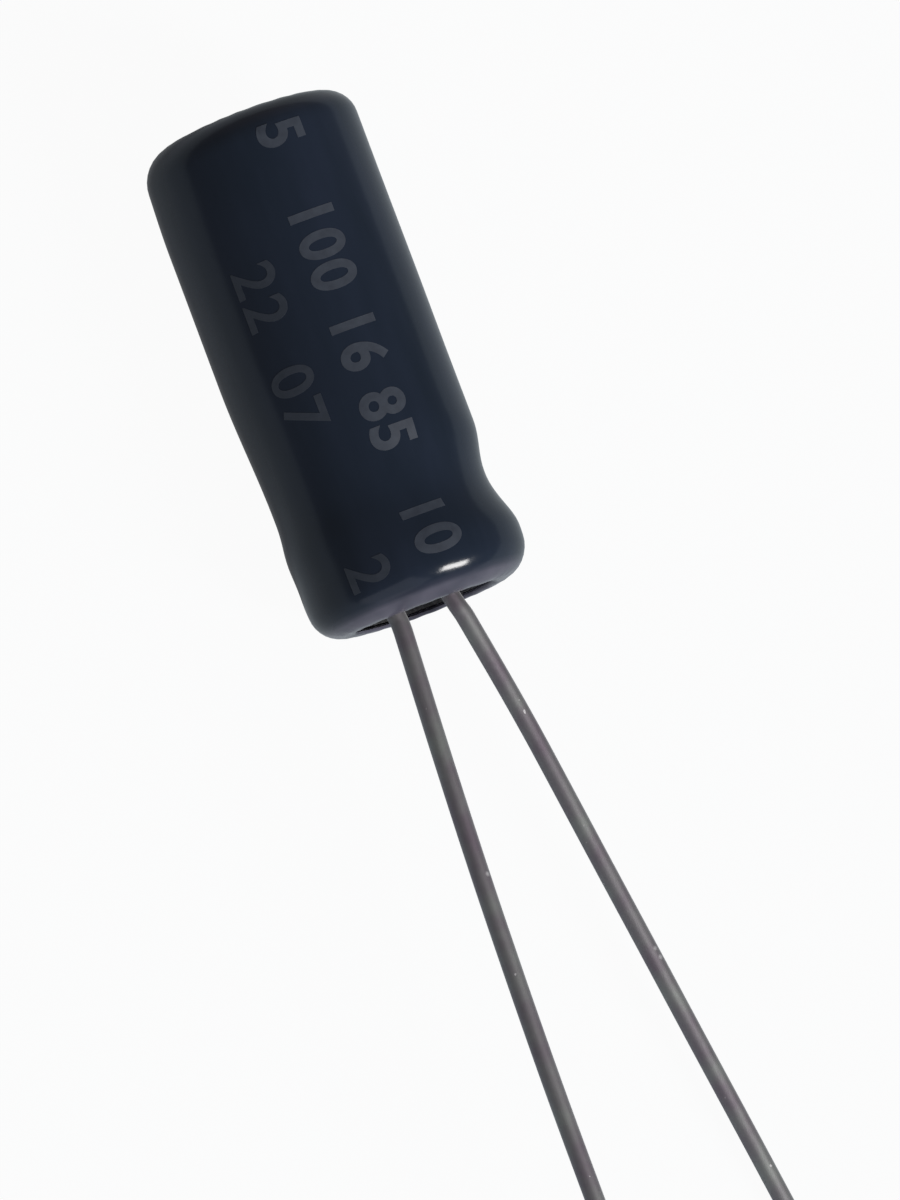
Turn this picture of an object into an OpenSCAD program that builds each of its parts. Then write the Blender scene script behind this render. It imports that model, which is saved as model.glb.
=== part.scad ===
// Radial aluminium electrolytic capacitor, lying on its side as it comes to rest.
// Each piece is drawn upright first: the axis is Z, the seating plane is z = 0,
// the head points up and the leads run down. lay_down() then turns it into place.

/* [Can] */
// Outer diameter of the drawn aluminium can
can_d = 5.0; // [4.8:0.05:5.4]
// Height of the can from its curled rim to its head
can_len = 11.8; // [11:0.1:14]
// Thickness of the can's side wall
can_wall = 0.25; // [0.2:0.01:0.28]
// Thickness of the can's head
head_t = 0.3; // [0.25:0.01:0.5]
// Outer corner radius of the head
head_r = 0.72; // [0.5:0.01:0.9]
// Outer radius of the rim curled in over the rubber
curl_r = 0.62; // [0.5:0.01:0.7]
// How far the rim is curled round, in degrees
curl_angle = 100; // [92:1:104]
// Height of the rolled bead's waist above the seating plane
bead_z = 2.48; // [2.4:0.01:2.7]
// How far the bead is pressed into the wall
bead_depth = 0.32; // [0.25:0.01:0.36]
// Height from the waist of the bead to where the wall is straight again
bead_half = 1.6; // [1.3:0.01:1.65]

/* [Sleeve] */
// Thickness of the shrunk film
film_t = 0.12; // [0.08:0.01:0.16]
// How far the film is drawn in over the bead
film_dip = 0.15; // [0.05:0.01:0.2]
// Width of the film's flat lip on the head
head_lip = 0.2; // [0.1:0.01:0.5]
// Width of the film's flat lip on the curled rim
foot_lip = 0.13; // [0.1:0.01:0.2]

/* [Rubber bung] */
// Thickness of the bung at its edge
bung_t = 3.0; // [2.8:0.05:3.4]
// How far the middle of the bung stands out between the leads
island_h = 0.2; // [0.1:0.01:0.25]
// Diameter of the middle that stands out
island_d = 3.1; // [2.9:0.05:3.2]
// Diameter of the mouth round each lead
mouth_d = 0.8; // [0.7:0.05:0.9]
// Chamfer round the top of the bung
bung_chamfer = 0.2; // [0.1:0.01:0.3]

/* [Leads] */
// Diameter of the tinned wire
wire_d = 0.45; // [0.4:0.01:0.5]
// Distance between the two leads where they leave the bung
lead_pitch = 2.0; // [1.8:0.05:2.1]
// Length of the anode lead below the seating plane, along the wire
anode_len = 21.0; // [19:0.5:24]
// Length of the cathode lead below the seating plane, along the wire
cathode_len = 17.0; // [16:0.5:18.5]
// Angle at which the anode lead leaves the bung, outwards
anode_exit_angle = 4.9; // [3:0.1:6]
// Angle at which the cathode lead leaves the bung, outwards
cathode_exit_angle = 14.8; // [13:0.1:17]
// How far the anode lead bows back, in degrees
anode_bow_angle = 4.5; // [2:0.1:5]
// How far the cathode lead bows back, in degrees
cathode_bow_angle = 3.3; // [2:0.1:5]
// Length of the anode lead's bow
anode_bow_len = 11.5; // [8:0.5:12.5]
// Length of the cathode lead's bow
cathode_bow_len = 2.6; // [2:0.1:5]
// Straight length of the anode lead before its bow
anode_start = 2.0; // [1:0.1:3]
// Straight length of the cathode lead before its bow
cathode_start = 1.3; // [0.8:0.1:2]
// Radius of the bend where a lead leaves the bung
exit_r = 0.8; // [0.6:0.05:1.2]
// How far a lead runs straight past the seating plane before that bend
exit_drop = 0.1; // [0.05:0.01:0.2]

/* [Tabs] */
// Diameter of the round shank of each aluminium tab
shank_d = 1.0; // [0.9:0.02:1.1]
// Height of the weld cone between wire and shank
weld_h = 0.2; // [0.15:0.01:0.3]
// How deep the weld lies inside the bung, from the face round its edge
weld_depth = 0.15; // [0.1:0.01:0.25]
// Length of round shank left above the bung
shank_stub = 0.1; // [0.05:0.01:0.15]
// Width of the flat blade that is wound in
blade_w = 1.5; // [1.2:0.05:1.7]
// Thickness of the flat blade
blade_t = 0.2; // [0.15:0.01:0.22]
// Length of the blade between the foils
blade_len = 5.8; // [4:0.1:6]

/* [Winding] */
// Radius of the hole that the winding pin leaves
core_r = 0.4; // [0.35:0.01:0.5]
// Thickness of the etched anode foil
anode_foil_t = 0.1; // [0.08:0.01:0.12]
// Thickness of the cathode foil
cathode_foil_t = 0.04; // [0.03:0.01:0.06]
// Thickness of each separator paper
paper_t = 0.04; // [0.03:0.01:0.06]
// Thickness of the tape that closes the roll
tape_t = 0.05; // [0.04:0.01:0.08]
// How far the papers stand past the foils at each end
paper_margin = 0.25; // [0.2:0.01:0.4]
// Width of the closing tape
tape_w = 5.6; // [4:0.1:6]

/* [Clearances] */
// Between the film and the can
film_gap = 0.01; // [0.005:0.005:0.02]
// Between the rubber and the can, and between the rubber and the shanks
rubber_gap = 0.02; // [0.01:0.005:0.03]
// Between neighbouring turns of foil and paper
web_gap = 0.012; // [0.01:0.001:0.02]
// Between the roll and the can
roll_gap = 0.05; // [0.03:0.01:0.1]
// Between the bung and the roll
bung_to_roll = 0.6; // [0.5:0.05:0.7]
// Between the roll and the corner inside the can's head
roll_to_head = 0.16; // [0.1:0.01:0.4]

/* [Hidden] */
$fn = 96;

bead_steps = 16;
cover = film_t + film_gap;
can_r = can_d / 2;
bore_r = can_r - can_wall;
body_r = can_r + cover;
can_foot = cover;
can_top = can_foot + can_len;
overall_len = can_top + cover;
curl_z = can_foot + curl_r;
curl_x = can_r - curl_r;
head_inner_r = head_r - can_wall;
shoulder = can_top - head_t - head_inner_r;

bung_r = bore_r - rubber_gap;
bung_corner = curl_r - can_wall - rubber_gap;
bung_foot = curl_z - bung_corner;
bung_top = bung_foot + bung_t;

wire_r = wire_d / 2;
shank_r = shank_d / 2;
weld_z = bung_foot + weld_depth;
shank_foot = weld_z + weld_h;
wire_joint = 0.002;

// The papers are as wide as the can leaves room for, and their width is the roll's height
roll_foot = bung_top + bung_to_roll;
paper_w = shoulder - roll_to_head - roll_foot;
foil_foot = roll_foot + paper_margin;
foil_w = paper_w - 2 * paper_margin;
tape_foot = roll_foot + (paper_w - tape_w) / 2;

web_step = 12;
ramp_angle = 36;
tape_lap_angle = 72;
web_pitch = anode_foil_t + cathode_foil_t + 2 * paper_t + 4 * web_gap;

// The four webs from the inside out, as [thickness, distance from the innermost web]
inner_paper_web = [paper_t, 0];
anode_web = [anode_foil_t, paper_t + web_gap];
outer_paper_web = [paper_t, anode_web[1] + anode_foil_t + web_gap];
cathode_web = [cathode_foil_t, outer_paper_web[1] + paper_t + web_gap];

// Where the roll ends, in degrees along the spiral, so that it fills the can
room = bore_r - roll_gap - tape_t - blade_t - web_gap - core_r;
end_angle = web_step * floor(360 * (room / web_pitch - 1) / web_step);

// Each tab lies against its foil at the turn nearest to its lead
function plain_r(a, web) = core_r + web_pitch * a / 360 + web[1];
function nearest_turn(web, part_turn) =
    let (r = lead_pitch / 2 - plain_r(0, web) - web[0] - web_gap - blade_t / 2)
    part_turn + max(1 - ceil(part_turn), round(r / web_pitch - part_turn));
anode_tab_angle = 360 * nearest_turn(anode_web, 0.5);
cathode_tab_angle = 360 * nearest_turn(cathode_web, 0);
function half_blade(a, web) = blade_w / 2 / (plain_r(a, web) + web[0]) * 180 / PI;

// A lead's end, from where it leaves the bung, as [distance outwards, distance down]
function arc(a0, a1, length) =
    let (r = length / ((a1 - a0) * PI / 180)) [r * (cos(a0) - cos(a1)), r * (sin(a1) - sin(a0))];
function straight(a, length) = [length * sin(a), length * cos(a)];
function exit_len(exit) = exit_r * exit * PI / 180;
function last_run(exit, start, bow_len, length) = length - exit_drop - exit_len(exit) - start - bow_len;
function lead_end(exit, start, bow, bow_len, length) =
    [0, exit_drop] + arc(0, exit, exit_len(exit)) + straight(exit, start)
    + arc(exit, exit - bow, bow_len)
    + straight(exit - bow, last_run(exit, start, bow_len, length));
anode_end = lead_end(anode_exit_angle, anode_start, anode_bow_angle, anode_bow_len, anode_len);
cathode_end = lead_end(cathode_exit_angle, cathode_start, cathode_bow_angle, cathode_bow_len, cathode_len);

// The can lies on its side, rolled until the tip of the splayed cathode lead is down too
cathode_reach = lead_pitch / 2 + cathode_end[0];
roll_angle = asin(min(1, (body_r - wire_r) / cathode_reach));
mid_x = (max(body_r, cathode_reach * cos(roll_angle) + wire_r) - body_r) / 2;
mid_y = (overall_len - max(anode_end[1], cathode_end[1])) / 2;

module lay_down() {
    translate([-mid_x, -mid_y, body_r]) rotate([-90, 0, 0]) rotate([0, 0, roll_angle]) children();
}

// 1 at the start, falling smoothly to 0 where u reaches 1
function ease(u) = (1 + cos(180 * min(1, max(0, u)))) / 2;
function bead(z, depth) = depth * ease(abs(z - bead_z) / bead_half);
bead_levels = [for (k = [-bead_steps : bead_steps]) bead_z + bead_half * k / bead_steps];

// A side of a turned profile from z0 to z1, drawn in round the bead
function side(r, depth, z0, z1) =
    [for (z = concat([z0], [for (z = bead_levels) if (z > z0 && z < z1) z], [z1]))
        [r - bead(z, depth), z]];
function backwards(points) = [for (k = [len(points) - 1 : -1 : 0]) points[k]];

// A wall of even thickness round the bead
module beaded_wall(r, wall, depth, z0, z1) {
    polygon(concat(side(r, depth, z0, z1), backwards(side(r - wall, depth, z0, z1))));
}

// A quarter of a ring, lower right or, turned over, upper right
module quarter_ring(r, wall, upper = false) {
    mirror([0, upper ? 0 : 1, 0]) intersection() {
        difference() {
            circle(r = r);
            circle(r = r - wall);
        }
        square(r);
    }
}

module sleeve() {
    foot_r = curl_r + cover;
    top_r = head_r + cover;
    color("#1d222c") lay_down() rotate_extrude() {
        beaded_wall(body_r, film_t, film_dip, foot_r, overall_len - top_r);
        translate([body_r - foot_r, foot_r]) quarter_ring(foot_r, film_t);
        translate([body_r - foot_r - foot_lip, 0]) square([foot_lip, film_t]);
        translate([body_r - top_r, overall_len - top_r]) quarter_ring(top_r, film_t, true);
        translate([body_r - top_r - head_lip, overall_len - film_t]) square([head_lip, film_t]);
    }
}

// The rim, curled from the side wall under the rubber
module curl() {
    reach = 2 * curl_r;
    intersection() {
        difference() {
            circle(r = curl_r);
            circle(r = curl_r - can_wall);
        }
        polygon([[0, 0], [reach, 0], [reach, -reach], [0, -reach],
                 [reach * cos(curl_angle), -reach * sin(curl_angle)]]);
    }
}

module can() {
    color("#c9ccd0") lay_down() rotate_extrude() {
        translate([curl_x, curl_z]) curl();
        beaded_wall(can_r, can_wall, bead_depth, curl_z, shoulder);
        difference() {
            union() {
                translate([0, shoulder]) square([can_r, can_top - head_r - shoulder]);
                translate([0, can_top - head_r]) square([can_r - head_r, head_r]);
                translate([can_r - head_r, can_top - head_r]) circle(r = head_r);
            }
            translate([0, shoulder - head_r]) square([bore_r, head_r]);
            translate([0, shoulder]) square([bore_r - head_inner_r, head_inner_r]);
            translate([bore_r - head_inner_r, shoulder]) circle(r = head_inner_r);
        }
    }
}

module bung_body() {
    side_top = bung_top - bung_chamfer;
    rotate_extrude() {
        polygon(concat(
            [[0, curl_z]],
            side(bung_r, bead_depth, curl_z, side_top),
            [[bung_r - bead(side_top, bead_depth) - bung_chamfer, bung_top], [0, bung_top]]));
        translate([0, bung_foot]) square([curl_x, curl_z - bung_foot]);
        translate([curl_x, curl_z]) quarter_ring(bung_corner, bung_corner);
        translate([0, bung_foot - island_h]) square([island_d / 2, island_h]);
    }
}

// The hole that a shank is pressed through, narrowing to its mouth round the wire
module bung_hole() {
    over = 0.1;
    hole_r = shank_r + rubber_gap;
    translate([0, 0, shank_foot]) cylinder(h = bung_top - shank_foot + over, r = hole_r);
    translate([0, 0, weld_z]) cylinder(h = weld_h, r1 = mouth_d / 2, r2 = hole_r);
    translate([0, 0, bung_foot - island_h - over])
        cylinder(h = weld_z - bung_foot + island_h + over, r = mouth_d / 2);
}

module bung() {
    color("#17181a") lay_down() difference() {
        bung_body();
        for (side = [-1, 1]) translate([side * lead_pitch / 2, 0, 0]) bung_hole();
    }
}

// A wire bent in the XZ plane, running down: each step is [length, angle it turns outwards].
// A ball a hair thicker than the wire joins each step to the next.
module bent_wire(steps, k = 0) {
    if (k > 0 && k < len(steps)) sphere(r = wire_r + wire_joint);
    if (k < len(steps)) {
        length = steps[k][0];
        turn = steps[k][1];
        if (turn == 0) {
            translate([0, 0, -length]) cylinder(h = length, r = wire_r);
            translate([0, 0, -length]) bent_wire(steps, k + 1);
        } else {
            r = length / (abs(turn) * PI / 180);
            way = sign(turn);
            translate([way * r, 0, 0]) rotate([90, 0, 0]) rotate([0, 0, way > 0 ? 180 : turn])
                rotate_extrude(angle = abs(turn)) translate([r, 0]) circle(r = wire_r);
            translate([way * r * (1 - cos(turn)), 0, -r * sin(abs(turn))])
                rotate([0, -turn, 0]) bent_wire(steps, k + 1);
        }
    }
}

module lead(exit, start, bow, bow_len, length) {
    color("#86848a") translate([lead_pitch / 2, 0, weld_z]) bent_wire([
        [weld_z + exit_drop, 0],
        [exit_len(exit), exit],
        [start, 0],
        [bow_len, -bow],
        [last_run(exit, start, bow_len, length), 0]]);
}

module anode_lead() {
    lay_down() mirror([1, 0, 0])
        lead(anode_exit_angle, anode_start, anode_bow_angle, anode_bow_len, anode_len);
}

module cathode_lead() {
    lay_down()
        lead(cathode_exit_angle, cathode_start, cathode_bow_angle, cathode_bow_len, cathode_len);
}

// How far a web is pushed out at angle a by the tab that lies on the given web under it
function lift(a, web, tab_a, tab_web) =
    let (n = round((a - tab_a) / 360),
         off = abs(a - tab_a - 360 * n) - half_blade(tab_a, tab_web) - web_step)
    n > 0 || (n == 0 && web[1] > tab_web[1]) ? (blade_t + web_gap) * ease(off / ramp_angle) : 0;
function web_r(a, web) = plain_r(a, web)
    + lift(a, web, anode_tab_angle, anode_web) + lift(a, web, cathode_tab_angle, cathode_web);

// The closing tape follows the roll for one turn and then laps down over its own start
function tape_r(a) =
    a <= end_angle + 360 ? web_r(a, inner_paper_web)
    : web_r(a - 360, inner_paper_web) + tape_t + web_gap
      + (web_pitch - tape_t - web_gap) * ease((a - end_angle - 360 - web_step) / ramp_angle);

function polar(r, a) = [r * cos(a), r * sin(a)];

// A strip along the spiral, from its inner radius at each angle and its thickness
module strip(angles, radii, t) {
    n = len(angles) - 1;
    polygon(concat(
        [for (k = [0 : n]) polar(radii[k] + t, angles[k])],
        [for (k = [n : -1 : 0]) polar(radii[k], angles[k])]));
}

module web(kind, foot, width) {
    angles = [for (a = [0 : web_step : end_angle]) a];
    lay_down() translate([0, 0, foot]) linear_extrude(width)
        strip(angles, [for (a = angles) web_r(a, kind)], kind[0]);
}

module anode_foil() { color("#b8b9ba") web(anode_web, foil_foot, foil_w); }
module cathode_foil() { color("#cfd0d2") web(cathode_web, foil_foot, foil_w); }
module inner_paper() { color("#d9c9a3") web(inner_paper_web, roll_foot, paper_w); }
module outer_paper() { color("#d9c9a3") web(outer_paper_web, roll_foot, paper_w); }

module fixing_tape() {
    angles = [for (a = [end_angle + web_step : web_step : end_angle + 360 + tape_lap_angle]) a];
    color("#b98a4a") lay_down() translate([0, 0, tape_foot]) linear_extrude(tape_w)
        strip(angles, [for (a = angles) tape_r(a)], tape_t);
}

// The blade's outline, curved with the turn of foil that it lies on
module blade_outline(a0, kind) {
    half = half_blade(a0, kind);
    angles = [for (k = [-4 : 4]) a0 + half * k / 4];
    strip(angles, [for (a = angles) web_r(a, kind) + kind[0] + web_gap], blade_t);
}

// A tab: weld cone, round shank, and the blade that its upper end is flattened into
module tab(a0, kind, way) {
    slice = 0.02;
    shank_top = bung_top + shank_stub;
    color("#bfc1c4") lay_down() {
        translate([way * lead_pitch / 2, 0, weld_z]) cylinder(h = weld_h, r1 = wire_r, r2 = shank_r);
        translate([way * lead_pitch / 2, 0, shank_foot])
            cylinder(h = shank_top - shank_foot, r = shank_r);
        hull() {
            translate([way * lead_pitch / 2, 0, shank_top - slice])
                cylinder(h = slice, r = shank_r, $fn = 32);
            translate([0, 0, roll_foot - paper_margin]) linear_extrude(slice) blade_outline(a0, kind);
        }
        translate([0, 0, roll_foot - paper_margin])
            linear_extrude(paper_margin + (paper_w - blade_len) / 2 + blade_len)
            blade_outline(a0, kind);
    }
}

module anode_tab() { tab(anode_tab_angle, anode_web, -1); }
module cathode_tab() { tab(cathode_tab_angle, cathode_web, 1); }

sleeve();
can();
bung();
anode_lead();
cathode_lead();
anode_tab();
cathode_tab();
anode_foil();
cathode_foil();
inner_paper();
outer_paper();
fixing_tape();
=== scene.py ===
import math

import bmesh
import bpy
from mathutils import Matrix, Vector, noise


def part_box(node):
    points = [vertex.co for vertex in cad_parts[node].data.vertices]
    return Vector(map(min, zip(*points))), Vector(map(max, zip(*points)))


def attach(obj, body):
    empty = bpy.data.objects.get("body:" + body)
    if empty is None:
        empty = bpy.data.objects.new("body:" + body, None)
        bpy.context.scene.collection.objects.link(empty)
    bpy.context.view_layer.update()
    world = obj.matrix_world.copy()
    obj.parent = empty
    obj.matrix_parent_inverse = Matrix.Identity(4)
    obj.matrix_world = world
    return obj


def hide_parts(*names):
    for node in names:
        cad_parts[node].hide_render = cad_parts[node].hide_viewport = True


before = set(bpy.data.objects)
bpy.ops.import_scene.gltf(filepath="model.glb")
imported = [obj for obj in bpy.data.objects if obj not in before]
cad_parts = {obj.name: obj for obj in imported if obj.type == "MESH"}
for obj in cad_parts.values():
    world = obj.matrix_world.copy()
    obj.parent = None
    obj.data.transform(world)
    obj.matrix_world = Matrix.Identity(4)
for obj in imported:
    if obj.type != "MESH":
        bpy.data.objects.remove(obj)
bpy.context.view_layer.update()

# Lengths in the dictionaries are in millimetres and angles in degrees, as in the part's source.
# Each piece is made upright, axis on Z and leads down, and laid down by one matrix at the end.
mm = 0.001

sleeveLow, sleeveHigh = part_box("sleeve")
body = {
    "radius": (sleeveHigh.x - sleeveLow.x) / 2 / mm,
    "length": (sleeveHigh.y - sleeveLow.y) / mm,
    # metres: the middle of its foot, where it is laid down
    "seat": Vector((
        (sleeveLow.x + sleeveHigh.x) / 2, sleeveLow.y, (sleeveLow.z + sleeveHigh.z) / 2)),
}

wire = {
    "diameter": 0.45,
    "pitch": 2.0,
    "weldHeight": 0.55,  # where it is welded to its tab, inside the bung
    "exitDrop": 0.1, "exitRadius": 0.8,  # it comes straight out this far, then bends this tightly
    "step": 0.12, "fewestSteps": 4,
}
# a lead leaves at exitAngle to its side, runs straight for start and then bows back by bowAngle
anode = {
    "side": -1, "length": 21.0, "exitAngle": 4.9, "start": 2.0, "bowAngle": 4.5, "bowLength": 11.5,
}
cathode = {
    "side": 1, "length": 17.0, "exitAngle": 14.8, "start": 1.3, "bowAngle": 3.3, "bowLength": 2.6,
}


def leadRoute(lead):
    # points of a lead's centreline as (outwards, down, angle), from its weld to its cut end
    exitLength = wire["exitRadius"] * math.radians(lead["exitAngle"])
    done = wire["exitDrop"] + exitLength + lead["start"] + lead["bowLength"]
    stretches = [
        (wire["weldHeight"] + wire["exitDrop"], 0),
        (exitLength, lead["exitAngle"]),
        (lead["start"], 0),
        (lead["bowLength"], -lead["bowAngle"]),
        (lead["length"] - done, 0),
    ]
    out, down, angle = wire["pitch"] / 2, -wire["weldHeight"], 0.0
    route = [(out, down, angle)]
    for length, turn in stretches:
        count = max(wire["fewestSteps"], round(length / wire["step"]))
        for k in range(count):
            middle = angle + math.radians(turn) / count / 2
            out += length / count * math.sin(middle)
            down += length / count * math.cos(middle)
            angle += math.radians(turn) / count
            route.append((out, down, angle))
    return route


# the body is rolled until the tip of the splayed cathode lead is down as well
cathodeReach = leadRoute(cathode)[-1][0]
rollAngle = math.asin((body["radius"] - wire["diameter"] / 2) / cathodeReach)
layDown = (
    Matrix.Translation(body["seat"])
    @ Matrix.Rotation(math.radians(-90), 4, "X")
    @ Matrix.Rotation(rollAngle, 4, "Z")
    @ Matrix.Scale(mm, 4)
)
print(f"body rolled {math.degrees(rollAngle):.2f} degrees")

# Camera: above the body, tipped to its left and a little towards the leads
view = {
    "leftOfUp": 15.9,
    "towardsLeads": 5.0,
    "distance": 220.0,
    "frameHeight": 27.7,  # height of the picture where the object lies
    "axisDown": Vector((0.3518, 0.9361)),  # the body's axis in the picture, x right and y down
    "centrePastSeat": 0.042,
    "centreRightOfAxis": 0.658,
    "clipStart": 0.01, "clipEnd": 20,  # metres
}


def setCamera():
    left, tip = math.radians(view["leftOfUp"]), math.radians(view["towardsLeads"])
    towards = Vector((
        -math.sin(left) * math.cos(tip), -math.sin(tip), math.cos(left) * math.cos(tip)))
    leadsWay = Vector((0, -1, 0))
    leadsWay = (leadsWay - leadsWay.dot(towards) * towards).normalized()
    across = towards.cross(leadsWay)
    along, down = view["axisDown"]
    right = along * leadsWay + down * across
    up = along * across - down * leadsWay
    past = view["centrePastSeat"] * leadsWay + view["centreRightOfAxis"] * across
    target = body["seat"] + mm * past
    camera = bpy.data.objects.new("camera", bpy.data.cameras.new("camera"))
    bpy.context.scene.collection.objects.link(camera)
    camera.matrix_world = Matrix.LocRotScale(
        target + view["distance"] * mm * towards,
        Matrix((right, up, towards)).transposed().to_quaternion(),
        Vector((1, 1, 1)),
    )
    camera.data.lens = camera.data.sensor_width * view["distance"] / view["frameHeight"]
    camera.data.clip_start, camera.data.clip_end = view["clipStart"], view["clipEnd"]
    bpy.context.scene.camera = camera
    return towards


cameraWay = setCamera()
toUpright = layDown.to_3x3().normalized().transposed()
viewTurn = math.atan2(*(toUpright @ cameraWay).yx)  # the azimuth that faces the camera
rightTurn = viewTurn + math.pi / 2  # the azimuth at the body's right-hand edge in the picture
floorRight = toUpright @ Vector((1, 0, 0))
print("camera set")


def hexToLinear(code):
    channels = [int(code[k:k + 2], 16) / 255 for k in (1, 3, 5)]
    linear = [c / 12.92 if c <= 0.04045 else ((c + 0.055) / 1.055) ** 2.4 for c in channels]
    return (*linear, 1.0)


def setInputs(tree, node, inputs):
    # an input is a number, a hex colour, a socket, or a node whose first output in use is linked
    for name, value in inputs.items():
        if isinstance(value, bpy.types.Node):
            value = next(output for output in value.outputs if output.enabled)
        if isinstance(value, bpy.types.NodeSocket):
            tree.links.new(value, node.inputs[name])
        elif isinstance(value, str):
            node.inputs[name].default_value = hexToLinear(value)
        else:
            node.inputs[name].default_value = value


def addNode(tree, kind, inputs=None, ramp=(), **settings):
    # ramp pairs a colour ramp's places with hex colours, and settings are the node's own choices
    node = tree.nodes.new("ShaderNode" + kind)
    for name, value in settings.items():
        setattr(node, name, value)
    for k, (place, colour) in enumerate(ramp):
        node.color_ramp.elements[k].position = place
        node.color_ramp.elements[k].color = hexToLinear(colour)
    setInputs(tree, node, inputs or {})
    return node


def newMaterial(name):
    # place is where a point lies, in metres, so a noise at Scale 1 / (x * mm) has blobs of x mm
    material = bpy.data.materials.new(name)
    material.use_nodes = True
    tree = material.node_tree
    place = addNode(tree, "TexCoord").outputs["Object"]
    return material, tree, tree.nodes["Principled BSDF"], place


# a noise texture keeps mostly between these two values
noiseLow, noiseHigh = 0.3, 0.7
noiseSpan = {"From Min": noiseLow, "From Max": noiseHigh}

sliver = 3e-4  # points nearer than this are one


def cleaned(bm, unit=1.0):
    # the slivers that a cut leaves are closed up, and unit is what a millimetre is in bm
    bmesh.ops.remove_doubles(bm, verts=bm.verts, dist=sliver * unit)
    bmesh.ops.dissolve_degenerate(bm, edges=bm.edges, dist=sliver * unit)
    bmesh.ops.recalc_face_normals(bm, faces=bm.faces)
    return bm


def makeObject(name, bm, material):
    # bm is upright and in millimetres
    cleaned(bm)
    bm.transform(layDown)
    mesh = bpy.data.meshes.new(name)
    bm.to_mesh(mesh)
    bm.free()
    mesh.materials.append(material)
    piece = bpy.data.objects.new(name, mesh)
    bpy.context.scene.collection.objects.link(piece)
    return piece


def smoothBy(piece, degrees):
    # an edge that turns by more than this stays sharp
    piece.data.shade_smooth()
    piece.data.set_sharp_from_angle(angle=math.radians(degrees))


# Sleeve: a film shrunk over the can, from its lip on the rim to its lip on the head
film = {
    "thickness": 0.12,
    "footCorner": 0.7, "footCornerMore": 0.05,  # a corner's radius, and how much more at the right
    "headCorner": 0.75, "headCornerMore": -0.07,
    "footLip": 0.13,
    "headLip": 0.2,
    "innerDip": 0.15, "innerDipHeight": 2.48, "innerDipHalf": 1.6,
    "dip": 0.15, "dipMore": 0.027,  # how deep it is drawn in, and how much deeper at the right
    "dipHeight": 2.72, "dipLower": 0.24,  # height of the waist, and how much lower at the right
    "dipAbove": 2.35, "dipAboveLess": 1.15,  # its reach upwards, and how much less at the right
    "dipBelow": 1.45,
    "tailShift": 0.11, "tailShiftFrom": 2.35, "tailShiftTo": 1.05,  # thicker at the right here
    "flare": 0.04, "flareHeight": 1.0, "flareReach": 0.8,
    "headTaper": 0.07, "headTaperReach": 2.4,  # it draws in towards the head at the left
    "wave": 0.007, "waveSize": 2.6,  # the slow unevenness of shrunk film
    "gatherFrom": 0.92,  # the film gathers where it faces this much up or down
    "pucker": 0.005, "puckers": 23,  # small gathers where the lips are drawn in
    "puckerStray": 3.0, "puckerStrayPace": 2.0,  # how unevenly the gathers are spaced
    "lipWander": 0.05, "lipWanderPace": 1.3,  # how far the cut edges stray from a circle
    "lipWanderSeed": 7,
    "lipSag": 0.075,  # how far the foot's lip hangs out on the side that is seen
    # a painted reflection lightens the film over both rims; the head's is fainter, at the given
    # share
    "reflectionFoot": 0.6, "reflectionFootSoft": 0.17,  # width of the painted reflection on the foot's rim and of its fading edge
    "reflectionHead": 0.7, "reflectionHeadSoft": 0.5, "reflectionHeadShare": 0.42,
    "around": 192, "along": 0.14,
    "edgeRound": (0.2, 0.5, 0.8),  # points on a cut edge, as shares of the film's thickness
    "crease": 60,
}
lipEnd = film["footLip"]
footEnd = lipEnd + film["footCorner"] * math.pi / 2
sideEnd = footEnd + body["length"] - film["footCorner"] - film["headCorner"]
headEnd = sideEnd + film["headCorner"] * math.pi / 2
filmEnd = headEnd + film["headLip"]


def filmSection(s, right):
    # (radius, height, normal) at the distance s along the outer face, before it is drawn in
    radius, length = body["radius"], body["length"]
    foot = film["footCorner"] + film["footCornerMore"] * right
    head = film["headCorner"] + film["headCornerMore"] * right
    if s < lipEnd:
        edge = radius - film["footCorner"] - film["footLip"]
        return edge + (radius - foot - edge) * s / lipEnd, 0.0, (0.0, -1.0)
    if s < footEnd:
        turn = (s - lipEnd) / film["footCorner"]
        return (radius - foot * (1 - math.sin(turn)), foot * (1 - math.cos(turn)),
                (math.sin(turn), -math.cos(turn)))
    if s < sideEnd:
        share = (s - footEnd) / (sideEnd - footEnd)
        return radius, foot + (length - foot - head) * share, (1.0, 0.0)
    if s < headEnd:
        turn = (s - sideEnd) / film["headCorner"]
        return (radius - head * (1 - math.cos(turn)), length - head * (1 - math.sin(turn)),
                (math.cos(turn), math.sin(turn)))
    edge = radius - film["headCorner"] - film["headLip"]
    share = (s - headEnd) / film["headLip"]
    return radius - head + (edge - radius + head) * share, length, (0.0, 1.0)


def ease(u):
    return (1 + math.cos(math.pi * min(1.0, max(0.0, u)))) / 2


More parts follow.
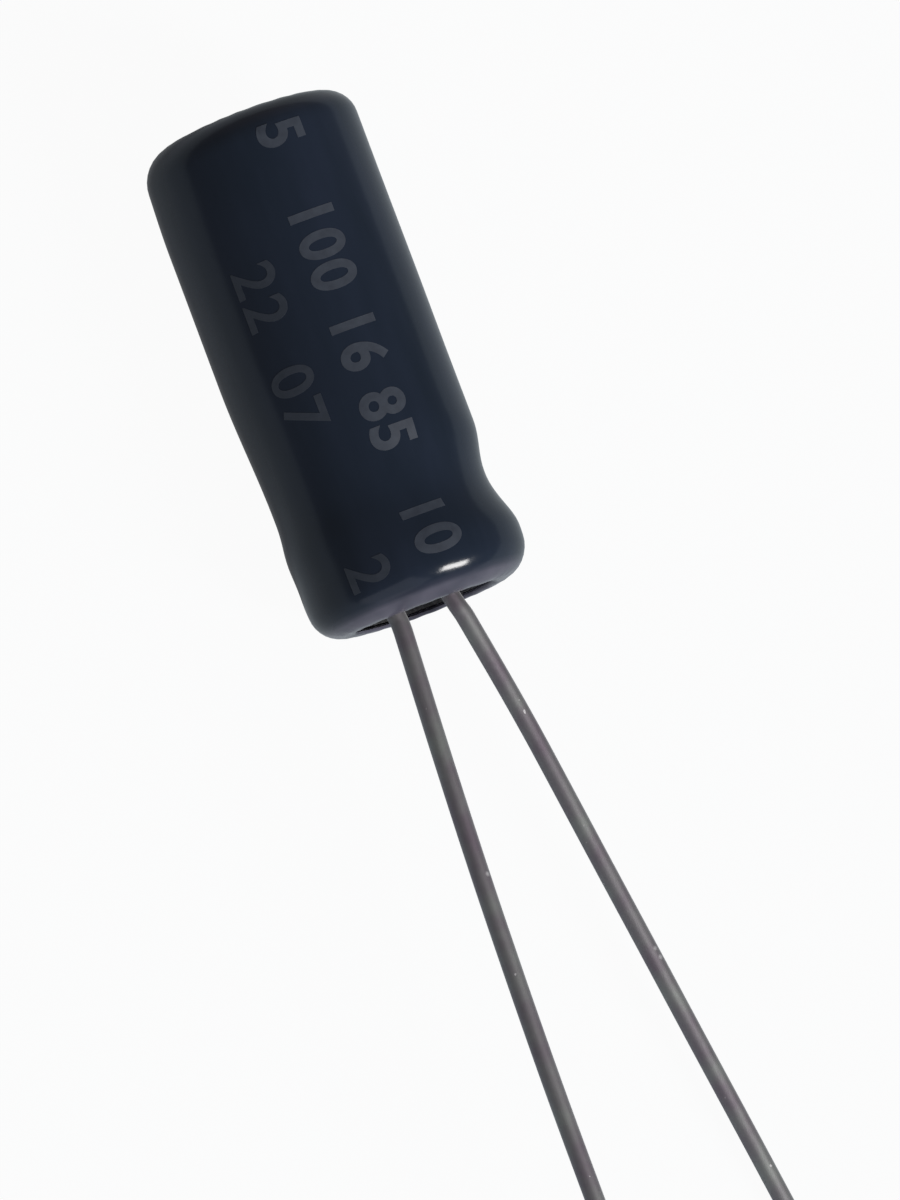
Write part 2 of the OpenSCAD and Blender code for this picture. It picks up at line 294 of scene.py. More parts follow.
def filmPoint(azimuth, s, depth=0.0, lift=0.0):
    # a point of the film: depth 0 is its outer face, 1 its inner, and lift is off the outer face
    right = math.cos(azimuth - rightTurn)
    radius, height, (outwards, upwards) = filmSection(s, right)
    waist = film["dipHeight"] - film["dipLower"] * right
    reach = film["dipAbove"] - film["dipAboveLess"] * right if height > waist else film["dipBelow"]
    dip = (film["dip"] + film["dipMore"] * right) * ease(abs(height - waist) / reach)
    shiftReach = film["tailShiftFrom"] - film["tailShiftTo"]
    shift = film["tailShift"] * ease((height - film["tailShiftTo"]) / shiftReach)
    flare = film["flare"] * ease(abs(height - film["flareHeight"]) / film["flareReach"])
    taper = ease((body["length"] - height) / film["headTaperReach"])
    flare -= film["headTaper"] * max(0.0, -right) * taper
    ring = Vector((math.cos(azimuth), math.sin(azimuth), height / body["radius"]))
    wave = film["wave"] * noise.noise(ring * body["radius"] / film["waveSize"])
    gathered = max(0.0, abs(upwards) - film["gatherFrom"]) / (1 - film["gatherFrom"])
    stray = film["puckerStray"] * noise.noise(ring * film["puckerStrayPace"])
    pucker = film["pucker"] * gathered * math.sin(film["puckers"] * azimuth + stray)
    up = lift + wave + pucker
    strayed = ring * film["lipWanderPace"] + Vector((film["lipWanderSeed"], 0, 0))
    wander = film["lipWander"] * gathered * noise.noise(strayed)
    if upwards < 0:
        height -= film["lipSag"] * gathered * max(0.0, math.cos(azimuth - viewTurn))
    outer = Vector((radius - dip + flare + wander + up * outwards, 0, height + up * upwards))
    outer.rotate(Matrix.Rotation(azimuth, 3, "Z"))
    outer += shift * Vector((math.cos(rightTurn), math.sin(rightTurn), 0))
    if depth == 0:
        return outer
    innerDip = film["innerDip"] * ease(abs(height - film["innerDipHeight"]) / film["innerDipHalf"])
    inner = Vector((radius - innerDip + wander - film["thickness"] * outwards, 0,
                    height - film["thickness"] * upwards))
    inner.rotate(Matrix.Rotation(azimuth, 3, "Z"))
    return outer.lerp(inner, depth)


def shrinkFilmMaterial():
    # heat-shrunk PVC: near-black blue, glossy, streaked along the tube, with a slow orange-peel
    # swell and hairline handling marks; a painted lavender reflection lightens it over the two rims
    material, tree, shader, place = newMaterial("shrinkFilmPvc")
    along = addNode(tree, "Mapping", {"Vector": place, "Scale": (1, 0.22, 1)})
    streaks = addNode(tree, "TexNoise", {"Vector": along, "Scale": 1 / (0.9 * mm), "Detail": 3.0})
    deep = addNode(tree, "ValToRGB", {"Fac": streaks},
                   [(noiseLow, "#1a2432"), (noiseHigh, "#212a3a")])
    paintedRimReflection = addNode(tree, "Attribute", attribute_name="paintedRimReflection").outputs["Fac"]
    patches = addNode(tree, "TexNoise", {"Vector": place, "Scale": 1 / (0.9 * mm)})
    uneven = addNode(tree, "MapRange", {"Value": patches, **noiseSpan, "To Min": 0.45})
    paintedReflection = addNode(tree, "Math", {0: paintedRimReflection, 1: uneven}, operation="MULTIPLY")
    # a Mix node's sockets 6 and 7 are its two colours
    # the second colour is a painted lavender reflection, laid over the rims in patches
    colour = addNode(tree, "Mix", {"Factor": paintedReflection, 6: deep, 7: "#5c5a68"}, data_type="RGBA")
    peel = addNode(tree, "TexNoise", {"Vector": place, "Scale": 1 / (0.7 * mm)})
    swell = addNode(tree, "Bump", {"Strength": 0.18, "Distance": 0.02 * mm, "Height": peel})
    hairlines = addNode(tree, "TexNoise", {
        "Vector": place, "Scale": 1 / (0.12 * mm), "Detail": 4.0})
    marks = addNode(tree, "Bump", {
        "Strength": 0.05, "Distance": 0.002 * mm, "Height": hairlines, "Normal": swell})
    rough = addNode(tree, "MapRange", {
        "Value": hairlines, **noiseSpan, "To Min": 0.14, "To Max": 0.19})
    setInputs(tree, shader, {
        "Base Color": colour, "Roughness": rough, "Normal": marks,
        "IOR": 1.42, "Sheen Weight": 0.06, "Sheen Roughness": 0.35})
    return material


filmMaterial = shrinkFilmMaterial()


def makeSleeve():
    count = round(filmEnd / film["along"])
    outerFace = [filmEnd * k / count for k in range(count + 1)]
    innerFace = outerFace[::-2]  # half the rings do where it isn't seen
    half = film["thickness"] / 2
    section = [(s, 0.0) for s in outerFace]
    section += [(filmEnd + half * math.sin(math.pi * d), d) for d in film["edgeRound"]]
    section += [(s, 1.0) for s in innerFace]
    section += [(-half * math.sin(math.pi * d), d) for d in film["edgeRound"][::-1]]
    bm = bmesh.new()
    paintedRimReflection = bm.verts.layers.float.new("paintedRimReflection")
    turns = [2 * math.pi * k / film["around"] for k in range(film["around"])]
    rings = []
    for azimuth in turns:
        rings.append([bm.verts.new(filmPoint(azimuth, s, depth)) for s, depth in section])
    for ring in rings:
        # painted reflection: how much of it each point of the two rims gets
        for v, (s, _) in zip(ring, section):
            atFoot = ease((s - film["reflectionFoot"]) / film["reflectionFootSoft"])
            atHead = ease((filmEnd - film["reflectionHead"] - s) / film["reflectionHeadSoft"])
            v[paintedRimReflection] = max(atFoot, film["reflectionHeadShare"] * atHead)
    for k, ring in enumerate(rings):
        after = rings[(k + 1) % len(rings)]
        for j in range(len(section)):
            i = (j + 1) % len(section)
            bm.faces.new((ring[j], after[j], after[i], ring[i]))
    piece = makeObject("shrunk_sleeve", bm, filmMaterial)
    smoothBy(piece, film["crease"])
    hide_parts("sleeve")
    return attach(piece, "root")


makeSleeve()
print("sleeve shrunk on")

# Print: two rows of plain digits along the film, and a stripe with minus signs by the cathode
ink = {
    "rise": 0.006, "sink": 0.006,  # how far it stands off the film, and reaches into it
    "sheetHalf": 0.01,  # half the thickness of the flat sheet that is pressed on
    "cutAlong": 0.24,
    "cutAround": 0.09,
    "weld": 0.001,  # points nearer than this become one
    "rowHeight": 1.1,
    "digitShare": 0.72,  # height of the built-in face's digits as a share of its size
    "spacing": 1.12,
    "rows": [
        # groups are the digits with the height where they start, from the head down,
        # and finish is the ink's name, its dark and light colours and its least roughness
        {"name": "print_row", "turn": 18.5, "squeeze": 0.88, "bold": 0.042,
         "groups": [("5", 11.5), ("100 16 85", 9.5), ("10", 2.25)],
         "finish": ("printInkGrey", "#343a46", "#3e4551", 0.42)},
        {"name": "print_code", "turn": -21.0, "squeeze": 0.95, "bold": 0.02,
         "groups": [("22", 8.6), ("07", 6.1), ("2", 1.35)],
         "finish": ("printInkFaint", "#2f3641", "#373d49", 0.42)},
    ],
    "stripeTurn": 0.0,
    "stripeHalf": 25.0,  # half its width, round the body
    "stripeFoot": 1.0,
    "stripeTop": 11.5,
    "minusLength": 1.15,
    "minusWidth": 0.3,
    "minusPitch": 2.6,
    "minusFacet": 30,  # its round ends turn by this much from point to point
    "stripeFinish": ("printInkStripe", "#8d939c", "#a4a9b1", 0.45),
    "crease": 40,
}


def evaluatedMesh(piece):
    # a new mesh of the piece as its modifiers or its curve settings make it
    bpy.context.view_layer.update()
    graph = bpy.context.evaluated_depsgraph_get()
    return bpy.data.meshes.new_from_object(piece.evaluated_get(graph))


def printInk(name, flat, azimuth, material):
    # flat is a closed sheet, x down the body from its head and y round it
    for axis, step in ((0, ink["cutAlong"]), (1, ink["cutAround"])):
        low = min(v.co[axis] for v in flat.verts)
        high = max(v.co[axis] for v in flat.verts)
        normal = Vector((1, 0, 0)) if axis == 0 else Vector((0, 1, 0))
        for k in range(1, math.ceil((high - low) / step)):
            # cut fine, so that it bends with the film
            bmesh.ops.bisect_plane(
                flat, geom=flat.verts[:] + flat.edges[:] + flat.faces[:], dist=ink["weld"],
                plane_co=normal * (low + k * step), plane_no=normal)
    for v in flat.verts:
        s = footEnd + body["length"] - film["footCorner"] - v.co.x
        lift = ink["rise"] if v.co.z > 0 else -ink["sink"]
        v.co = filmPoint(azimuth + v.co.y / body["radius"], s, 0.0, lift)
    piece = makeObject(name, flat, material)
    smoothBy(piece, ink["crease"])
    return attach(piece, "root")


def flatSheet(curve, shape=Matrix(), flat=None):
    # fills in a curve as a sheet and adds it to flat, or to a new mesh
    curve.extrude = ink["sheetHalf"]
    carrier = bpy.data.objects.new("carrier", curve)
    bpy.context.scene.collection.objects.link(carrier)
    mesh = evaluatedMesh(carrier)
    mesh.transform(shape)
    flat = flat or bmesh.new()
    flat.from_mesh(mesh)
    bpy.data.objects.remove(carrier)
    bpy.data.meshes.remove(mesh)
    bmesh.ops.remove_doubles(flat, verts=flat.verts, dist=ink["weld"])
    return flat


def inkMaterial(name, dark, light, roughness):
    # screen-printed ink: thin and dull, so the film's colour comes through where it is worn
    material, tree, shader, place = newMaterial(name)
    worn = addNode(tree, "TexNoise", {"Vector": place, "Scale": 1 / (0.25 * mm), "Detail": 4.0})
    colour = addNode(tree, "ValToRGB", {"Fac": worn}, [(noiseLow, dark), (noiseHigh, light)])
    grain = addNode(tree, "TexNoise", {"Vector": place, "Scale": 1 / (0.03 * mm)})
    pigment = addNode(tree, "Bump", {"Strength": 0.2, "Distance": 0.002 * mm, "Height": grain})
    rough = addNode(tree, "MapRange", {
        "Value": grain, **noiseSpan, "To Min": roughness, "To Max": roughness + 0.1})
    setInputs(tree, shader, {
        "Base Color": colour, "Roughness": rough, "Normal": pigment, "IOR": 1.5})
    return material


def makeDigits(row):
    flat = bmesh.new()
    for digits, start in row["groups"]:
        curve = bpy.data.curves.new(row["name"], "FONT")
        curve.body = digits
        curve.size = ink["rowHeight"] / ink["digitShare"]
        curve.offset = row["bold"]
        curve.space_character = ink["spacing"]
        place = Matrix.Translation((body["length"] - start, -ink["rowHeight"] / 2, 0))
        flatSheet(curve, place @ Matrix.Diagonal((row["squeeze"], 1, 1, 1)), flat)
    printInk(row["name"], flat, viewTurn + math.radians(row["turn"]), inkMaterial(*row["finish"]))


def makeStripe():
    halfWidth = math.radians(ink["stripeHalf"]) * body["radius"]
    curve = bpy.data.curves.new("polarity_stripe", "CURVE")
    curve.dimensions = "2D"
    curve.fill_mode = "BOTH"

    def addOutline(corners):
        spline = curve.splines.new("POLY")
        spline.points.add(len(corners) - 1)
        for point, (u, v) in zip(spline.points, corners):
            point.co = (u, v, 0, 1)
        spline.use_cyclic_u = True

    top, foot = body["length"] - ink["stripeTop"], body["length"] - ink["stripeFoot"]
    addOutline([(top, -halfWidth), (foot, -halfWidth), (foot, halfWidth), (top, halfWidth)])
    count = int((foot - top) / ink["minusPitch"])
    first = (top + foot) / 2 - (count - 1) / 2 * ink["minusPitch"]
    radius = ink["minusWidth"] / 2
    for k in range(count):
        centre = first + k * ink["minusPitch"]
        corners = []
        for end in (1, -1):
            for turn in range(-90, 91, ink["minusFacet"]):
                angle = math.radians(turn)
                reach = ink["minusLength"] / 2 - radius + radius * math.cos(angle)
                corners.append((centre + end * reach, end * radius * math.sin(angle)))
        addOutline(corners)
    azimuth = math.radians(ink["stripeTurn"])
    printInk("polarity_stripe", flatSheet(curve), azimuth, inkMaterial(*ink["stripeFinish"]))


for row in ink["rows"]:
    makeDigits(row)
makeStripe()
print("print laid on")

# Bung: moulded rubber with a raised island, two mouths, and a groove where the can is beaded
bung = {
    "edge": 0.4,  # height of the face round its edge
    "height": 3.0,
    "bore": 2.23,  # radius inside the can
    "corner": 0.35,
    "island": 0.2, "islandRadius": 1.55,  # the middle is raised this much
    "islandFillet": 0.1, "islandFoot": 0.06, "islandDraft": 8,
    "faceRings": (0.5, 1.0),  # radii of the mesh's rings on its flat faces
    "mouth": 0.4, "mouthFlare": 0.08,
    "throat": 0.52, "throatHeight": 0.75,
    "grooveHeight": 2.48, "groove": 0.32, "grooveHalf": 1.6,
    "chamfer": 0.2,
    "around": 160, "mouthAround": 64, "sideSteps": 24,
    "overrun": 0.3,  # how far the drill goes past each face
    "crease": 35,
}


def arcPoints(centreR, centreZ, radius, start, end, count=8):
    points = []
    for k in range(count + 1):
        angle = math.radians(start + (end - start) * k / count)
        points.append((centreR + radius * math.cos(angle), centreZ + radius * math.sin(angle)))
    return points


def turned(section, around, centreX=0.0):
    # a solid turned from a section whose first and last points are on the axis
    bm = bmesh.new()
    rings = []
    for radius, height in section:
        if radius == 0:
            rings.append([bm.verts.new((centreX, 0, height))])
        else:
            turns = [2 * math.pi * k / around for k in range(around)]
            circle = [(radius * math.cos(turn), radius * math.sin(turn)) for turn in turns]
            rings.append([bm.verts.new((centreX + x, y, height)) for x, y in circle])
    for lower, upper in zip(rings, rings[1:]):
        for k in range(around):
            i = (k + 1) % around
            if len(lower) == 1:
                bm.faces.new((lower[0], upper[i], upper[k]))
            elif len(upper) == 1:
                bm.faces.new((lower[k], lower[i], upper[0]))
            else:
                bm.faces.new((lower[k], lower[i], upper[i], upper[k]))
    bmesh.ops.recalc_face_normals(bm, faces=bm.faces)
    return bm


def bungSection():
    edge, fillet, foot = bung["edge"], bung["islandFillet"], bung["islandFoot"]
    draft, corner = bung["islandDraft"], bung["corner"]
    face = edge - bung["island"]
    top = edge + bung["height"]
    points = [(radius, face) for radius in (0.0, *bung["faceRings"])]
    points += arcPoints(bung["islandRadius"] - fillet, face + fillet, fillet, -90, -draft)
    points += arcPoints(bung["islandRadius"] + foot, edge - foot, foot, 180 - draft, 90)
    points += arcPoints(bung["bore"] - corner, edge + corner, corner, -90, 0)
    sideFoot, sideTop = edge + corner, top - bung["chamfer"]
    for k in range(1, bung["sideSteps"] + 1):
        height = sideFoot + (sideTop - sideFoot) * k / bung["sideSteps"]
        groove = bung["groove"] * ease(abs(height - bung["grooveHeight"]) / bung["grooveHalf"])
        points.append((bung["bore"] - groove, height))
    points += [(points[-1][0] - bung["chamfer"], top), (bung["faceRings"][-1], top), (0.0, top)]
    return points


def rubberMaterial():
    # moulded butyl rubber: matt black-grey with the mould's fine sparked grain and a dusty bloom
    material, tree, shader, place = newMaterial("mouldedButylRubber")
    bloom = addNode(tree, "TexNoise", {"Vector": place, "Scale": 1 / (0.5 * mm), "Detail": 3.0})
    colour = addNode(tree, "ValToRGB", {"Fac": bloom},
                     [(noiseLow, "#1c1c21"), (noiseHigh, "#2b2b31")])
    grain = addNode(tree, "TexNoise", {"Vector": place, "Scale": 1 / (0.05 * mm), "Detail": 3.0})
    pits = addNode(tree, "Bump", {"Strength": 0.5, "Distance": 0.006 * mm, "Height": grain})
    rough = addNode(tree, "MapRange", {
        "Value": grain, **noiseSpan, "To Min": 0.55, "To Max": 0.75})
    setInputs(tree, shader, {
        "Base Color": colour, "Roughness": rough, "Normal": pits, "IOR": 1.52})
    return material


def makeBung():
    material = rubberMaterial()
    piece = makeObject("rubber_bung", turned(bungSection(), bung["around"]), material)
    face, flare = bung["edge"] - bung["island"], bung["mouthFlare"]
    clear, through = face - bung["overrun"], bung["edge"] + bung["height"] + bung["overrun"]
    for side in (-1, 1):
        drill = [(0.0, clear), (bung["mouth"] + flare, clear)]
        drill += arcPoints(bung["mouth"] + flare, face + flare, flare, -90, -180)
        drill += [(bung["mouth"], wire["weldHeight"]), (bung["throat"], bung["throatHeight"]),
                  (bung["throat"], through), (0.0, through)]
        drillSolid = turned(drill, bung["mouthAround"], side * wire["pitch"] / 2)
        cutter = makeObject("drill", drillSolid, material)
        cut = piece.modifiers.new("mouth", "BOOLEAN")
        cut.object, cut.operation, cut.solver = cutter, "DIFFERENCE", "EXACT"
        mesh = evaluatedMesh(piece)
        piece.modifiers.clear()
        piece.data = mesh
        bpy.data.objects.remove(cutter)
    bm = bmesh.new()
    bm.from_mesh(piece.data)
    cleaned(bm, mm).to_mesh(piece.data)
    bm.free()
    smoothBy(piece, bung["crease"])
    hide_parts("bung")
    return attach(piece, "root")


makeBung()
print("bung moulded")

# Leads: tinned wire, straight from the welding machine but for two gentle bends
wireFinish = {
    "around": 40,
    "wander": 0.012,  # how far drawn wire strays from its line
    "wanderLength": 4.0, "wanderSeed": 5.3,
    "wanderFrom": 1.2, "wanderReach": 3.0, "wanderStop": 2.0,  # from past the mouth to the tip
    "nudge": {-1: 0.08, 1: 0.15},  # how far each lead is pushed to the right in its mouth
    "nudgeFrom": 0.1, "nudgeReach": 0.9,
    "pinch": 0.72, "pinchLength": 0.35,  # the cutter flattens the last of it
    "burr": 0.04, "cutFace": 0.86,
    "crease": 35,
    "knockCore": 3,  # a knock is at its brightest in the middle third
    # bright knocks: lead, distance from the weld, degrees round the wire, radius and how bright
    "knocks": [
        (anode, 6.91, -90, 0.075, 1.0),
        (cathode, 9.9, -96, 0.07, 0.75),
        (cathode, 10.14, -90, 0.08, 0.85),
    ],
}


def leadStations(lead):
    # (centre, way across, distance from the weld, distance to the cut end) all along a lead
    route = leadRoute(lead)
    runs = [0.0]
    for before, after in zip(route, route[1:]):
        runs.append(runs[-1] + math.dist(before[:2], after[:2]))
    side, stations = lead["side"], []
    for (out, down, angle), run in zip(route, runs):
        left = runs[-1] - run
        free = min(1.0, max(0.0, (run - wireFinish["wanderFrom"]) / wireFinish["wanderReach"]))
        free *= min(1.0, left / wireFinish["wanderStop"])
        stray = Vector((run / wireFinish["wanderLength"], side * wireFinish["wanderSeed"], 0))
        sway = wireFinish["wander"] * free * noise.noise(stray)
        nudge = 1 - ease((run - wireFinish["nudgeFrom"]) / wireFinish["nudgeReach"])
        centre = Vector((side * out, sway, -down)) + wireFinish["nudge"][side] * nudge * floorRight
        stations.append((centre, Vector((side * math.cos(angle), 0, math.sin(angle))), run, left))
    return stations


def skinPoint(centre, across, turn, squeeze=1.0):
    radius = wire["diameter"] / 2
    return centre + radius * (math.cos(turn) * across / math.sqrt(squeeze)
                              + math.sin(turn) * squeeze * Vector((0, 1, 0)))


def tinnedWireMaterial():
    # hot-tinned steel wire: grey metal with faint drawing lines, dull patches and bright nicks
    material, tree, shader, place = newMaterial("tinnedSteelWire")
    patches = addNode(tree, "TexNoise", {"Vector": place, "Scale": 1 / (0.8 * mm), "Detail": 3.0})
    tin = addNode(tree, "ValToRGB", {"Fac": patches},
                  [(noiseLow, "#857b86"), (noiseHigh, "#949796")])
    knocks = addNode(tree, "TexNoise", {"Vector": place, "Scale": 1 / (0.14 * mm), "Detail": 1.0})
    nick = addNode(tree, "MapRange", {"Value": knocks, "From Min": 0.77, "From Max": 0.81})
    for lead, run, turn, radius, brightness in wireFinish["knocks"]:
        centre, across, _, _ = min(leadStations(lead), key=lambda station: abs(station[2] - run))
        spot = layDown @ skinPoint(centre, across, math.radians(turn))
        away = addNode(tree, "VectorMath", {0: place, 1: spot}, operation="DISTANCE")
        knock = addNode(tree, "MapRange", {
            "Value": away, "From Max": radius * mm,
            "From Min": radius * mm / wireFinish["knockCore"],
            "To Min": brightness, "To Max": 0.0})
        nick = addNode(tree, "Math", {0: nick, 1: knock}, operation="MAXIMUM")
    colour = addNode(tree, "Mix", {"Factor": nick, 6: tin, 7: "#d5d3d6"}, data_type="RGBA")
    along = addNode(tree, "Mapping", {"Vector": place, "Scale": (1, 0.04, 1)})
    lines = addNode(tree, "TexNoise", {"Vector": along, "Scale": 1 / (0.035 * mm), "Detail": 3.0})
    drawn = addNode(tree, "Bump", {"Strength": 0.35, "Distance": 0.005 * mm, "Height": lines})
    dull = addNode(tree, "Bump", {
        "Strength": 0.25, "Distance": 0.01 * mm, "Height": patches, "Normal": drawn})
    rough = addNode(tree, "MapRange", {
        "Value": lines, **noiseSpan, "To Min": 0.56, "To Max": 0.68})
    setInputs(tree, shader, {
        "Base Color": colour, "Metallic": 1.0, "Roughness": rough, "Normal": dull,
        "Sheen Weight": 1.0, "Sheen Roughness": 0.45})
    return material


wireMaterial = tinnedWireMaterial()


def makeLead(name, node, lead):
    bm = bmesh.new()
    rings = []
    turns = [2 * math.pi * k / wireFinish["around"] for k in range(wireFinish["around"])]
    for centre, across, _, left in leadStations(lead):
        squeeze = 1 - (1 - wireFinish["pinch"]) * ease(left / wireFinish["pinchLength"])
        rings.append([bm.verts.new(skinPoint(centre, across, turn, squeeze)) for turn in turns])
    angle = leadRoute(lead)[-1][2]
    along = Vector((lead["side"] * math.sin(angle), 0, -math.cos(angle)))
    tip = sum((v.co for v in rings[-1]), Vector()) / wireFinish["around"]
    last = []
    for v in rings[-1]:
        last.append(bm.verts.new(tip + (v.co - tip) * wireFinish["cutFace"]))
        v.co -= along * wireFinish["burr"]
    rings.append(last)
    for lower, upper in zip(rings, rings[1:]):
        for j in range(wireFinish["around"]):
            i = (j + 1) % wireFinish["around"]
            bm.faces.new((lower[j], lower[i], upper[i], upper[j]))
    bm.faces.new(rings[0])
    bm.faces.new(rings[-1])
    piece = makeObject(name, bm, wireMaterial)
    smoothBy(piece, wireFinish["crease"])
    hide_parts(node)
    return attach(piece, "root")


makeLead("anode_wire", "anode_lead", anode)
makeLead("cathode_wire", "cathode_lead", cathode)
print("leads drawn")


# The pieces inside stay as the CAD made them and get their own finishes
def drawnAluminiumMaterial():
    # deep-drawn aluminium can: bright silver with fine draw lines up the wall, the press tool's
    # rings on its head and soft dull patches
    material, tree, shader, place = newMaterial("drawnAluminiumCan")
    patches = addNode(tree, "TexNoise", {"Vector": place, "Scale": 1 / (0.9 * mm), "Detail": 3.0})
    soft = addNode(tree, "ValToRGB", {"Fac": patches},
                   [(noiseLow, "#aeb1b5"), (noiseHigh, "#d3d5d8")])
    fromAxis = addNode(tree, "Mapping", {"Vector": place, "Location": -body["seat"]})
    ringPitch = 0.25  # the real rings are finer; a wave texture at Scale 1 repeats every pi / 10
    marks = addNode(tree, "TexWave", {
        "Vector": fromAxis, "Scale": math.pi / 10 / (ringPitch * mm), "Distortion": 2.5,
        "Detail": 3.0, "Detail Scale": 1.2}, wave_type="RINGS", rings_direction="Y")
    rings = marks.outputs["Fac"]
    bright = addNode(tree, "MapRange", {"Value": rings, "To Min": 0.85})
    colour = addNode(tree, "Mix", {"Factor": bright, 6: soft, 7: "#e2e3e5"}, data_type="RGBA")
    turnedHead = addNode(tree, "Bump", {"Strength": 0.5, "Distance": 0.006 * mm, "Height": rings})
    upTheWall = addNode(tree, "Mapping", {"Vector": place, "Scale": (1, 0.05, 1)})
    lines = addNode(tree, "TexNoise", {
        "Vector": upTheWall, "Scale": 1 / (0.05 * mm), "Detail": 3.0})
    drawn = addNode(tree, "Bump", {
        "Strength": 0.3, "Distance": 0.004 * mm, "Height": lines, "Normal": turnedHead})
    rough = addNode(tree, "MapRange", {
        "Value": lines, **noiseSpan, "To Min": 0.28, "To Max": 0.42})
    setInputs(tree, shader, {
        "Base Color": colour, "Metallic": 1.0, "Roughness": rough, "Normal": drawn})
    return material


def tabMaterial():
    # pressed aluminium tab: pale, with the mark of the die as a soft grain
    material, tree, shader, place = newMaterial("pressedAluminiumTab")
    grain = addNode(tree, "TexNoise", {"Vector": place, "Scale": 1 / (0.08 * mm), "Detail": 3.0})
    colour = addNode(tree, "ValToRGB", {"Fac": grain}, [(0, "#c4c6c8"), (1, "#d9dadb")])
    pressed = addNode(tree, "Bump", {"Strength": 0.3, "Distance": 0.006 * mm, "Height": grain})
    rough = addNode(tree, "MapRange", {
        "Value": grain, **noiseSpan, "To Min": 0.35, "To Max": 0.5})
    setInputs(tree, shader, {
        "Base Color": colour, "Metallic": 1.0, "Roughness": rough, "Normal": pressed})
    return material


def foilMaterial(name, dark, light, smoothest, roughest, pitSize):
    # aluminium foil: etching eats it matt and grey, and rolling leaves it bright
    material, tree, shader, place = newMaterial(name)
    pits = addNode(tree, "TexNoise", {"Vector": place, "Scale": 1 / (pitSize * mm), "Detail": 4.0})
    colour = addNode(tree, "ValToRGB", {"Fac": pits}, [(0, dark), (1, light)])
    eaten = addNode(tree, "Bump", {"Strength": 0.4, "Distance": 0.003 * mm, "Height": pits})
    rough = addNode(tree, "MapRange", {
        "Value": pits, **noiseSpan, "To Min": smoothest, "To Max": roughest})
    setInputs(tree, shader, {
        "Base Color": colour, "Metallic": 1.0, "Roughness": rough, "Normal": eaten})
    return material


def separatorPaperMaterial():
    # kraft paper soaked in electrolyte: buff and fibrous, slightly darker where it is wet
    material, tree, shader, place = newMaterial("soakedKraftPaper")
    along = addNode(tree, "Mapping", {"Vector": place, "Scale": (1, 0.3, 1)})
    fibres = addNode(tree, "TexNoise", {"Vector": along, "Scale": 1 / (0.09 * mm), "Detail": 5.0})
    dry = addNode(tree, "ValToRGB", {"Fac": fibres}, [(0, "#c9b78e"), (1, "#ddcda8")])
    damp = addNode(tree, "TexNoise", {"Vector": place, "Scale": 1 / (1.4 * mm)})
    wet = addNode(tree, "MapRange", {"Value": damp, **noiseSpan, "To Max": 0.5})
    colour = addNode(tree, "Mix", {"Factor": wet, 6: dry, 7: "#a8946a"}, data_type="RGBA")
    pulp = addNode(tree, "Bump", {"Strength": 0.5, "Distance": 0.008 * mm, "Height": fibres})
    rough = addNode(tree, "MapRange", {
        "Value": fibres, **noiseSpan, "To Min": 0.65, "To Max": 0.85})
    setInputs(tree, shader, {
        "Base Color": colour, "Roughness": rough, "Normal": pulp, "IOR": 1.47})
    return material


def fixingTapeMaterial():
    # amber film tape: smooth, with the adhesive mottled behind it
    material, tree, shader, place = newMaterial("amberFilmTape")
    glue = addNode(tree, "TexNoise", {"Vector": place, "Scale": 1 / (0.4 * mm), "Detail": 3.0})
    colour = addNode(tree, "ValToRGB", {"Fac": glue}, [(0, "#a8742f"), (1, "#c59450")])
    rippled = addNode(tree, "Bump", {"Strength": 0.15, "Distance": 0.005 * mm, "Height": glue})
    rough = addNode(tree, "MapRange", {
        "Value": glue, **noiseSpan, "To Min": 0.2, "To Max": 0.35})
    setInputs(tree, shader, {
        "Base Color": colour, "Roughness": rough, "Normal": rippled, "IOR": 1.6})
    return material


tabMetal, paper = tabMaterial(), separatorPaperMaterial()
inside = {
    "can": drawnAluminiumMaterial(),
    "anode_tab": tabMetal,
    "cathode_tab": tabMetal,
    "anode_foil": foilMaterial("etchedAluminiumFoil", "#8f9193", "#a6a8aa", 0.6, 0.8, 0.04),
    "cathode_foil": foilMaterial("rolledAluminiumFoil", "#bfc1c3", "#d3d5d6", 0.35, 0.5, 0.1),
    "inner_paper": paper,
    "outer_paper": paper,
    "fixing_tape": fixingTapeMaterial(),
}
for nodeName, material in inside.items():
    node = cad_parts[nodeName]
    node.data.materials.clear()
    node.data.materials.append(material)
print("inner pieces finished")

# Floor and light: white paper under a soft room
room = {
    "floorSize": 3.0,  # metres
    "sink": 0.015,  # how far the paper lies under the object's own floor level
    "paper": "#a0acb4", "paperWorn": "#a8b3ba",
    "airAbove": 0.15,  # strength of the room's own light, also what the gloss sees overhead
    "cameraWhite": 0.955,  # share that the camera sees as plain white; the rest keeps the shadow
    "glossWhite": 0.12,  # and to what mirrors it
    "lamps": [
        # name, place (x right, y towards the head, z up), width and height, watts, colour
        ("lampKey", (176, -262, 265), (190, 90), 1.56, "#fffdfb"),
        ("lampFill", (-260, -420, 200), (600, 400), 0.42, "#eef1ff"),
    ],
}


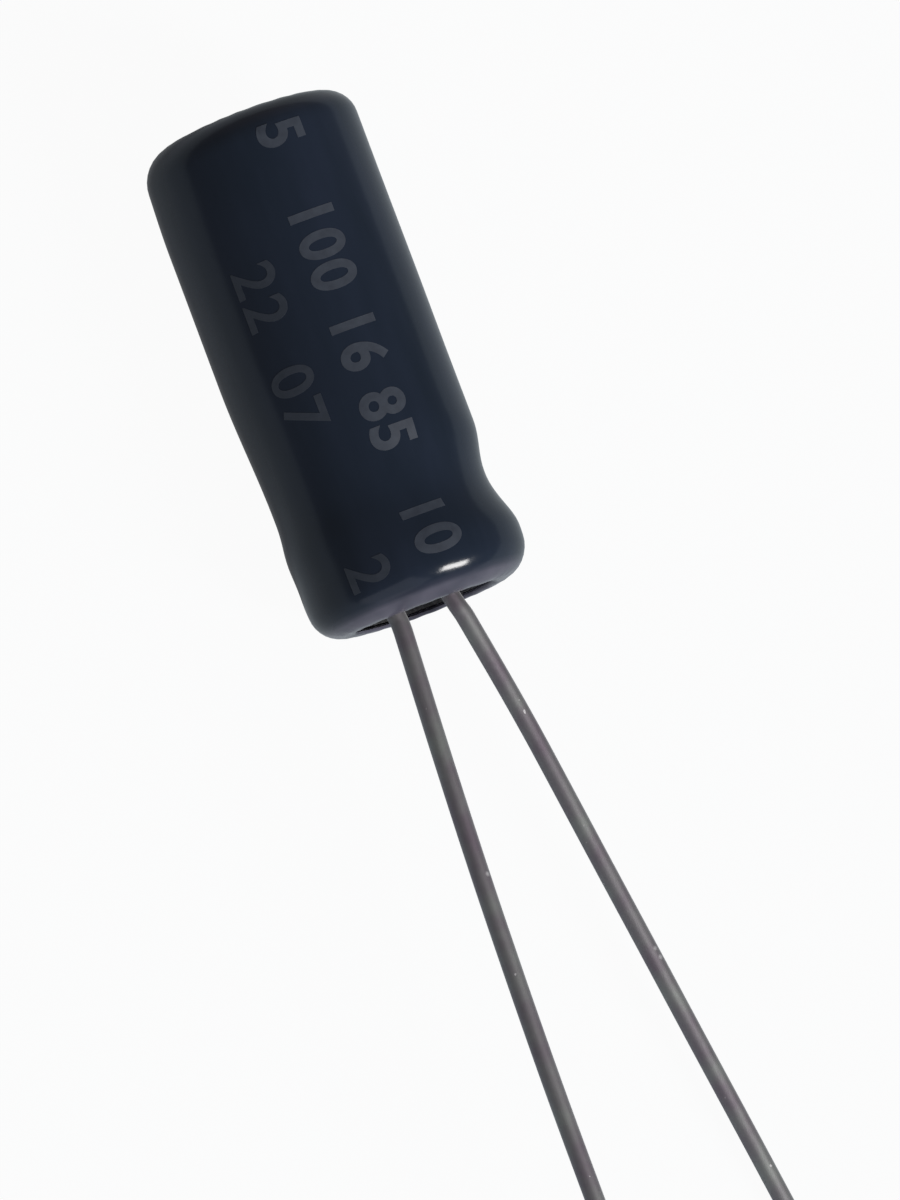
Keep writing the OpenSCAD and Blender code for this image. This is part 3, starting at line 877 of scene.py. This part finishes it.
def paperMaterial():
    # matt white paper; the camera sees it near plain white, and the gloss sees it as it is lit
    material, tree, shader, place = newMaterial("mattPaper")
    fibres = addNode(tree, "TexNoise", {"Vector": place, "Scale": 1 / (1.5 * mm), "Detail": 4.0})
    colour = addNode(tree, "ValToRGB", {"Fac": fibres},
                     [(0, room["paper"]), (1, room["paperWorn"])])
    setInputs(tree, shader, {"Base Color": colour, "Roughness": 0.9, "Specular IOR Level": 0.1})
    rays = addNode(tree, "LightPath")
    seen = addNode(tree, "Math", {
        0: rays.outputs["Is Camera Ray"], 1: room["cameraWhite"]}, operation="MULTIPLY")
    amount = addNode(tree, "Math", {
        0: rays.outputs["Is Glossy Ray"], 1: room["glossWhite"], 2: seen}, operation="MULTIPLY_ADD")
    white = addNode(tree, "Emission", {"Color": (1, 1, 1, 1), "Strength": 1.0})
    mixed = addNode(tree, "MixShader", {"Fac": amount, 1: shader, 2: white})
    setInputs(tree, tree.nodes["Material Output"], {"Surface": mixed})
    return material


def makeFloor():
    half = room["floorSize"] / 2
    bm = bmesh.new()
    corners = [(-half, -half), (half, -half), (half, half), (-half, half)]
    bm.faces.new([bm.verts.new((x, y, -room["sink"] * mm)) for x, y in corners])
    mesh = bpy.data.meshes.new("floor")
    bm.to_mesh(mesh)
    bm.free()
    mesh.materials.append(paperMaterial())
    floor = bpy.data.objects.new("floor", mesh)
    bpy.context.scene.collection.objects.link(floor)


def setWorld():
    world = bpy.data.worlds.new("room")
    world.use_nodes = True
    tree = world.node_tree
    rays = addNode(tree, "LightPath")
    strength = addNode(tree, "MapRange", {
        "Value": rays.outputs["Is Camera Ray"], "To Min": room["airAbove"], "To Max": 1.0})
    setInputs(tree, tree.nodes["Background"], {"Color": (1, 1, 1, 1), "Strength": strength})
    bpy.context.scene.world = world


def addLamps():
    for name, place, (width, height), watts, colour in room["lamps"]:
        lamp = bpy.data.lights.new(name, "AREA")
        lamp.shape = "RECTANGLE"
        lamp.size, lamp.size_y = width * mm, height * mm
        lamp.energy = watts
        lamp.color = hexToLinear(colour)[:3]
        holder = bpy.data.objects.new(name, lamp)
        holder.location = Vector(place) * mm
        facing = (holder.location - body["seat"]).normalized()
        across = Vector((0, 1, 0)).cross(facing).normalized()
        axes = Matrix((across, facing.cross(across), facing)).transposed()
        holder.rotation_euler = axes.to_euler()
        bpy.context.scene.collection.objects.link(holder)


makeFloor()
setWorld()
addLamps()
bpy.context.scene.view_settings.view_transform = "Standard"
print("room lit")
